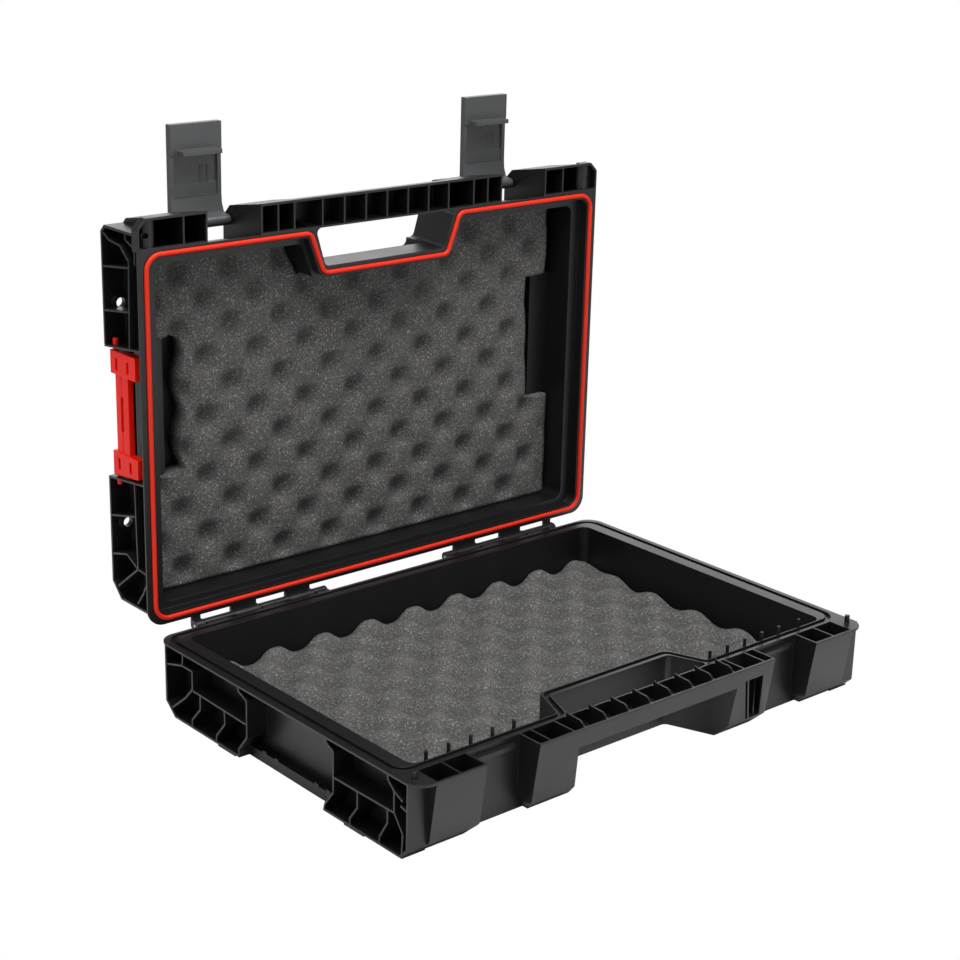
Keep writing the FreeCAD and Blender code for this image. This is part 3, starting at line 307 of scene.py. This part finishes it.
def foamGrid(pad):
    # Rows along y and columns along x; columns beside the notch lean with its sides.
    step, share = pad["step"], pad["columnShare"]
    sideColumns = np.concatenate([fillSteps(0, pad["bossShare"], share), fillSteps(pad["bossShare"], 1, share)[1:]])
    notchRows = fillSteps(pad["front"], pad["notchBack"], step)
    rows = [notchRows]
    for start, end in zip(pad["stops"][:-1], pad["stops"][1:]):
        rows.append(fillSteps(start, end, step)[1:])
    y = np.concatenate(rows)
    lean = (pad["notchFrontHalf"] - pad["notchBackHalf"]) / (pad["notchBack"] - pad["front"])
    edge = pad["notchBackHalf"] + lean * np.maximum(pad["notchBack"] - y, 0)
    middle = fillSteps(-1, 1, step / pad["notchBackHalf"])
    right = edge[:, None] + sideColumns[None, :] * (pad["side"] - edge[:, None])
    x = np.concatenate([-right[:, ::-1], middle[None, 1:-1] * edge[:, None], right], 1)
    yy = np.broadcast_to(y[:, None], x.shape)
    cells = np.ones((x.shape[0] - 1, x.shape[1] - 1), bool)
    rowMid = (y[1:] + y[:-1]) / 2
    columnMid = np.arange(x.shape[1] - 1) + 0.5
    firstNotch = len(sideColumns) - 1
    lastNotch = x.shape[1] - len(sideColumns)
    inNotch = (columnMid > firstNotch) & (columnMid < lastNotch)
    cells[np.ix_(rowMid < pad["notchBack"], inNotch)] = False
    if pad["bossShare"] < 1:
        reach = int(np.sum(sideColumns > pad["bossShare"] + 1e-9))
        beside = (columnMid < reach) | (columnMid > x.shape[1] - 1 - reach)
        along = (rowMid > pad["bossFrom"]) & (rowMid < pad["bossTo"])
        cells[np.ix_(along, beside)] = False
    return x, yy, cells


basePad = {
    "step": 2.4, "columnShare": 0.02, "front": 30.6, "notchBack": 63.0, "stops": (63.0, 285.6, 297.2),
    "side": 205.0, "notchFrontHalf": 76.3, "notchBackHalf": 64.2,
    "bossShare": 1.0, "bossFrom": 0.0, "bossTo": 0.0,
    "pitch": (23.0, 25.0), "wave": 9.0, "press": 1.35, "peak": (10.3, -1.0),
    "floor": 4.8, "mean": 25.8, "rampFrom": 285.6, "rampSlope": 10 / 12,
    "flatShare": 0.12, "flatWidth": 22.0, "trim": 11.0, "trimStart": 220.0, "trimEnd": 300.0,
}
lidPad = {
    "step": 2.4, "columnShare": 0.02, "front": 37.0, "notchBack": 65.0, "stops": (65.0, 97.9, 206.1, 297.0),
    "side": 203.4, "notchFrontHalf": 76.5, "notchBackHalf": 66.0,
    "bossShare": 0.82, "bossFrom": 97.9, "bossTo": 206.1,
    "pitch": (23.6, 23.6), "wave": 7.5, "pitPower": 1.25, "peakShare": 0.12, "peak": (-8.3, 1.7),
    "floor": 47.7, "mean": 33.7, "rampFrom": 285.0, "rampSlope": 1.0,
    "flatShare": 0.15, "flatWidth": 22.0, "trim": 6.0, "trimStart": 100.0, "trimEnd": 210.0,
    "cutWide": 7.0, "cutWave": 2.5, "cutPeak": 159.0, "cutBlend": 40.0,
}


def seatRise(y, pad):
    # The tray's floor rises in a straight ramp towards the back.
    return np.maximum(y - pad["rampFrom"], 0) * pad["rampSlope"]


def buildBaseFoam(pad):
    # Top: mean height plus the crate's peaks and pits. Bottom: the tray's floor.
    x, y, cells = foamGrid(pad)
    x = trimmed(x, y, pad)
    top = pad["mean"] + crate(x, y, pad)
    bottom = pad["floor"] + seatRise(y, pad)
    points, faces = gridSolid(x, y - case["middleY"], top, bottom, cells)
    mesh = meshFrom("baseFoamPad", points * mm, faces)
    markLift(mesh, points[:, 2], pad["mean"] - pad["wave"] / 2, pad["mean"] + pad["wave"] / 2)
    thing = newObject("baseFoamPad", mesh, materials["foam"], "base")
    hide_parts("base_foam")
    return thing


def buildLidFoam(pad):
    # Worked out lying down, as the base's pad is, then stood up against the lid's panel.
    x, y, cells = foamGrid(pad)
    rise = pad["floor"] - pad["mean"]
    x = widened(trimmed(x, y, pad), y, pad)
    face = rise + dimples(x, y, pad)
    points, faces = gridSolid(x, y, face, seatRise(y, pad), cells)
    # Depth turns into +Y, y into -Z.
    placed = np.stack([points[:, 0], case["lidRimY"] - case["middleY"] + pad["floor"] - points[:, 2],
                       case["lidRimZ"] - points[:, 1]], -1)
    mesh = meshFrom("lidFoamPad", placed * mm, faces)
    markLift(mesh, points[:, 2], rise - pad["wave"] / 2, rise + pad["wave"] / 2)
    thing = newObject("lidFoamPad", mesh, materials["foam"], "lid")
    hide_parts("lid_foam")
    return thing


# Seal bead

seal = {
    "side": 218.4, "front": 26.8, "back": 306.4, "notchFrontHalf": 73.6, "notchBackHalf": 61.4,
    "notchBack": 59.0, "radius": 1.8, "proud": 2.2, "corner": 12.0, "bend": 7.0,
    "step": 6.0, "arcPoints": 13, "sides": 24,
}


def roundedPath(corners, step, arcPoints):
    # Straight runs and tangent arcs as one closed line of points, the runs cut about a step long.
    points = []
    count = len(corners)
    for i in range(count):
        here = np.array(corners[i][:2])
        before = np.array(corners[i - 1][:2]) - here
        after = np.array(corners[(i + 1) % count][:2]) - here
        armA = before / np.linalg.norm(before)
        armB = after / np.linalg.norm(after)
        half = math.acos(np.clip(armA @ armB, -1, 1)) / 2
        radius = corners[i][2]
        bisector = (armA + armB) / np.linalg.norm(armA + armB)
        middle = here + bisector * radius / math.sin(half)
        start = here + armA * radius / math.tan(half) - middle
        end = here + armB * radius / math.tan(half) - middle
        turn = math.atan2(start[0] * end[1] - start[1] * end[0], start @ end)
        angles = np.linspace(0, turn, arcPoints)
        cos, sin = np.cos(angles), np.sin(angles)
        points.append(np.stack([middle[0] + start[0] * cos - start[1] * sin,
                                middle[1] + start[0] * sin + start[1] * cos], -1))
    line = np.concatenate(points)
    run = np.roll(line, -1, 0) - line
    pieces = np.maximum(1, (np.linalg.norm(run, axis=1) / step).astype(int))
    share = np.concatenate([np.arange(count) / count for count in pieces])
    return np.repeat(line, pieces, 0) + np.repeat(run, pieces, 0) * share[:, None]


def buildSeal(s):
    # A circle carried along the rim's path, standing proud of the lid's rim.
    corners = [
        (-s["side"], s["front"], s["corner"]), (-s["notchFrontHalf"], s["front"], s["bend"]),
        (-s["notchBackHalf"], s["notchBack"], s["bend"]), (s["notchBackHalf"], s["notchBack"], s["bend"]),
        (s["notchFrontHalf"], s["front"], s["bend"]), (s["side"], s["front"], s["corner"]),
        (s["side"], s["back"], s["corner"]), (-s["side"], s["back"], s["corner"]),
    ]
    line = roundedPath(corners, s["step"], s["arcPoints"])
    tangent = np.roll(line, -1, 0) - np.roll(line, 1, 0)
    tangent /= np.linalg.norm(tangent, axis=1, keepdims=True)
    outward = np.stack([tangent[:, 1], -tangent[:, 0]], -1)
    angles = np.linspace(0, 2 * math.pi, s["sides"], endpoint=False)
    across = np.cos(angles) * s["radius"]
    depth = s["radius"] - s["proud"] + np.sin(angles) * s["radius"]
    flat = line[:, None, :] + outward[:, None, :] * across[None, :, None]
    depths = np.broadcast_to(depth[None, :], flat.shape[:2])
    placed = np.stack([flat[..., 0], case["lidRimY"] - case["middleY"] + depths, case["lidRimZ"] - flat[..., 1]], -1)
    rings, sides = flat.shape[:2]
    index = np.arange(rings * sides).reshape(rings, sides)
    nextRing = np.roll(index, -1, 0)
    faces = np.stack([index, np.roll(index, -1, 1), np.roll(nextRing, -1, 1), nextRing], -1).reshape(-1, 4)
    mesh = meshFrom("sealBead", placed * mm, faces)
    thing = newObject("sealBead", mesh, materials["seal"], "lid")
    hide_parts("lid_seal")
    return thing


def turnOutward(thing):
    # Faces out everywhere on a closed mesh.
    work = bmesh.new()
    work.from_mesh(thing.data)
    bmesh.ops.recalc_face_normals(work, faces=work.faces)
    work.to_mesh(thing.data)
    work.free()


print("shells")
softenedCopy("base_shell", "base", "shell", edges["shell"])
softenedCopy("lid_shell", "lid", "shell", edges["shell"])
print("latches and clips")
for side in ("left", "right"):
    softenedCopy(side + "_latch", side + "_latch", "latch", edges["small"])
    softenedCopy(side + "_clip", side + "_clip", "clip", edges["small"])
    for pin in (side + "_latch_pin", side + "_hinge_pin"):
        nodes[pin].data.materials.clear()
        nodes[pin].data.materials.append(materials["pin"])
print("foams")
turnOutward(buildBaseFoam(basePad))
turnOutward(buildLidFoam(lidPad))
print("seal")
turnOutward(buildSeal(seal))


# Floor, light and camera

# The camera that the photograph's straight edges give: angles in radians, focal length in pixels
view = {
    "yaw": 0.719, "pitch": 0.323, "roll": 0.026, "focal": 2005.9, "picture": 960, "sensor": 36,
    "place": (-958.1, -890.0, 654.1),
}
# Lights: name, place, target, width, height and power, in metres and watts
studio = {
    "floorHalf": 4.0, "floorColour": "#d8d8d8", "sky": 0.34,
    "lights": (
        ("overhead", (-0.1, -0.35, 1.6), (0, -0.05, 0.1), 1.5, 1.1, 47),
        ("left", (-1.9, -0.5, 0.9), (0, 0, 0.15), 1.2, 1.4, 13),
        ("front", (0.8, -2.2, 0.5), (0, 0, 0.1), 1.6, 0.8, 8),
        ("behind", (2.0, 2.4, 1.1), (0, 0, 0.15), 3.0, 1.6, 26),
    ),
}


def camera():
    yaw, pitch, roll = view["yaw"], view["pitch"], view["roll"]
    ahead = Vector((math.sin(yaw) * math.cos(pitch), math.cos(yaw) * math.cos(pitch), -math.sin(pitch)))
    side = Vector((math.cos(yaw), -math.sin(yaw), 0))
    over = side.cross(ahead)
    right = side * math.cos(roll) + over * math.sin(roll)
    above = over * math.cos(roll) - side * math.sin(roll)
    data = bpy.data.cameras.new("camera")
    data.sensor_width = view["sensor"]
    data.lens = view["focal"] / view["picture"] * view["sensor"]
    data.clip_start = 0.05
    data.clip_end = 20
    thing = bpy.data.objects.new("camera", data)
    bpy.context.scene.collection.objects.link(thing)
    placeX, placeY, placeZ = view["place"]
    place = Vector((placeX, placeY - case["middleY"], placeZ)) * mm
    turn = Matrix((right, above, -ahead)).transposed().to_4x4()
    thing.matrix_world = Matrix.Translation(place) @ turn
    bpy.context.scene.camera = thing


def whiteWhereSeen(tree, usual, white, output):
    # Plain white to the camera, and the usual surface or sky to every other ray.
    path = addNode(tree, "ShaderNodeLightPath")
    mix = addNode(tree, "ShaderNodeMixShader", {0: path.outputs["Is Camera Ray"], 1: usual, 2: white})
    tree.links.new(mix.outputs["Shader"], output.inputs["Surface"])


def floor():
    mesh = bpy.data.meshes.new("floor")
    size = studio["floorHalf"]
    mesh.from_pydata([(-size, -size, 0), (size, -size, 0), (size, size, 0), (-size, size, 0)], [], [(0, 1, 2, 3)])
    thing = bpy.data.objects.new("floor", mesh)
    bpy.context.scene.collection.objects.link(thing)
    material, tree, surface = newMaterial("paperFloor")
    surface.inputs["Base Color"].default_value = linear(studio["floorColour"])
    surface.inputs["Roughness"].default_value = 0.9
    output = [n for n in tree.nodes if n.type == "OUTPUT_MATERIAL"][0]
    white = addNode(tree, "ShaderNodeEmission", {"Color": (1, 1, 1, 1), "Strength": 1.0})
    whiteWhereSeen(tree, surface.outputs["BSDF"], white.outputs["Emission"], output)
    mesh.materials.append(material)


def areaLight(name, place, target, width, height, power):
    data = bpy.data.lights.new(name, "AREA")
    data.shape = "RECTANGLE"
    data.size = width
    data.size_y = height
    data.energy = power
    thing = bpy.data.objects.new(name, data)
    bpy.context.scene.collection.objects.link(thing)
    thing.location = place
    thing.rotation_euler = (Vector(target) - Vector(place)).to_track_quat("-Z", "Y").to_euler()
    thing.visible_camera = False


def world():
    scene = bpy.context.scene
    scene.world = bpy.data.worlds.new("studio")
    scene.world.use_nodes = True
    tree = scene.world.node_tree
    tree.nodes.clear()
    output = addNode(tree, "ShaderNodeOutputWorld")
    soft = addNode(tree, "ShaderNodeBackground", {"Color": (1, 1, 1, 1), "Strength": studio["sky"]})
    white = addNode(tree, "ShaderNodeBackground", {"Color": (1, 1, 1, 1), "Strength": 1.0})
    whiteWhereSeen(tree, soft.outputs["Background"], white.outputs["Background"], output)


print("stage")
floor()
world()
for light in studio["lights"]:
    areaLight(*light)
camera()
bpy.context.scene.view_settings.view_transform = "Standard"
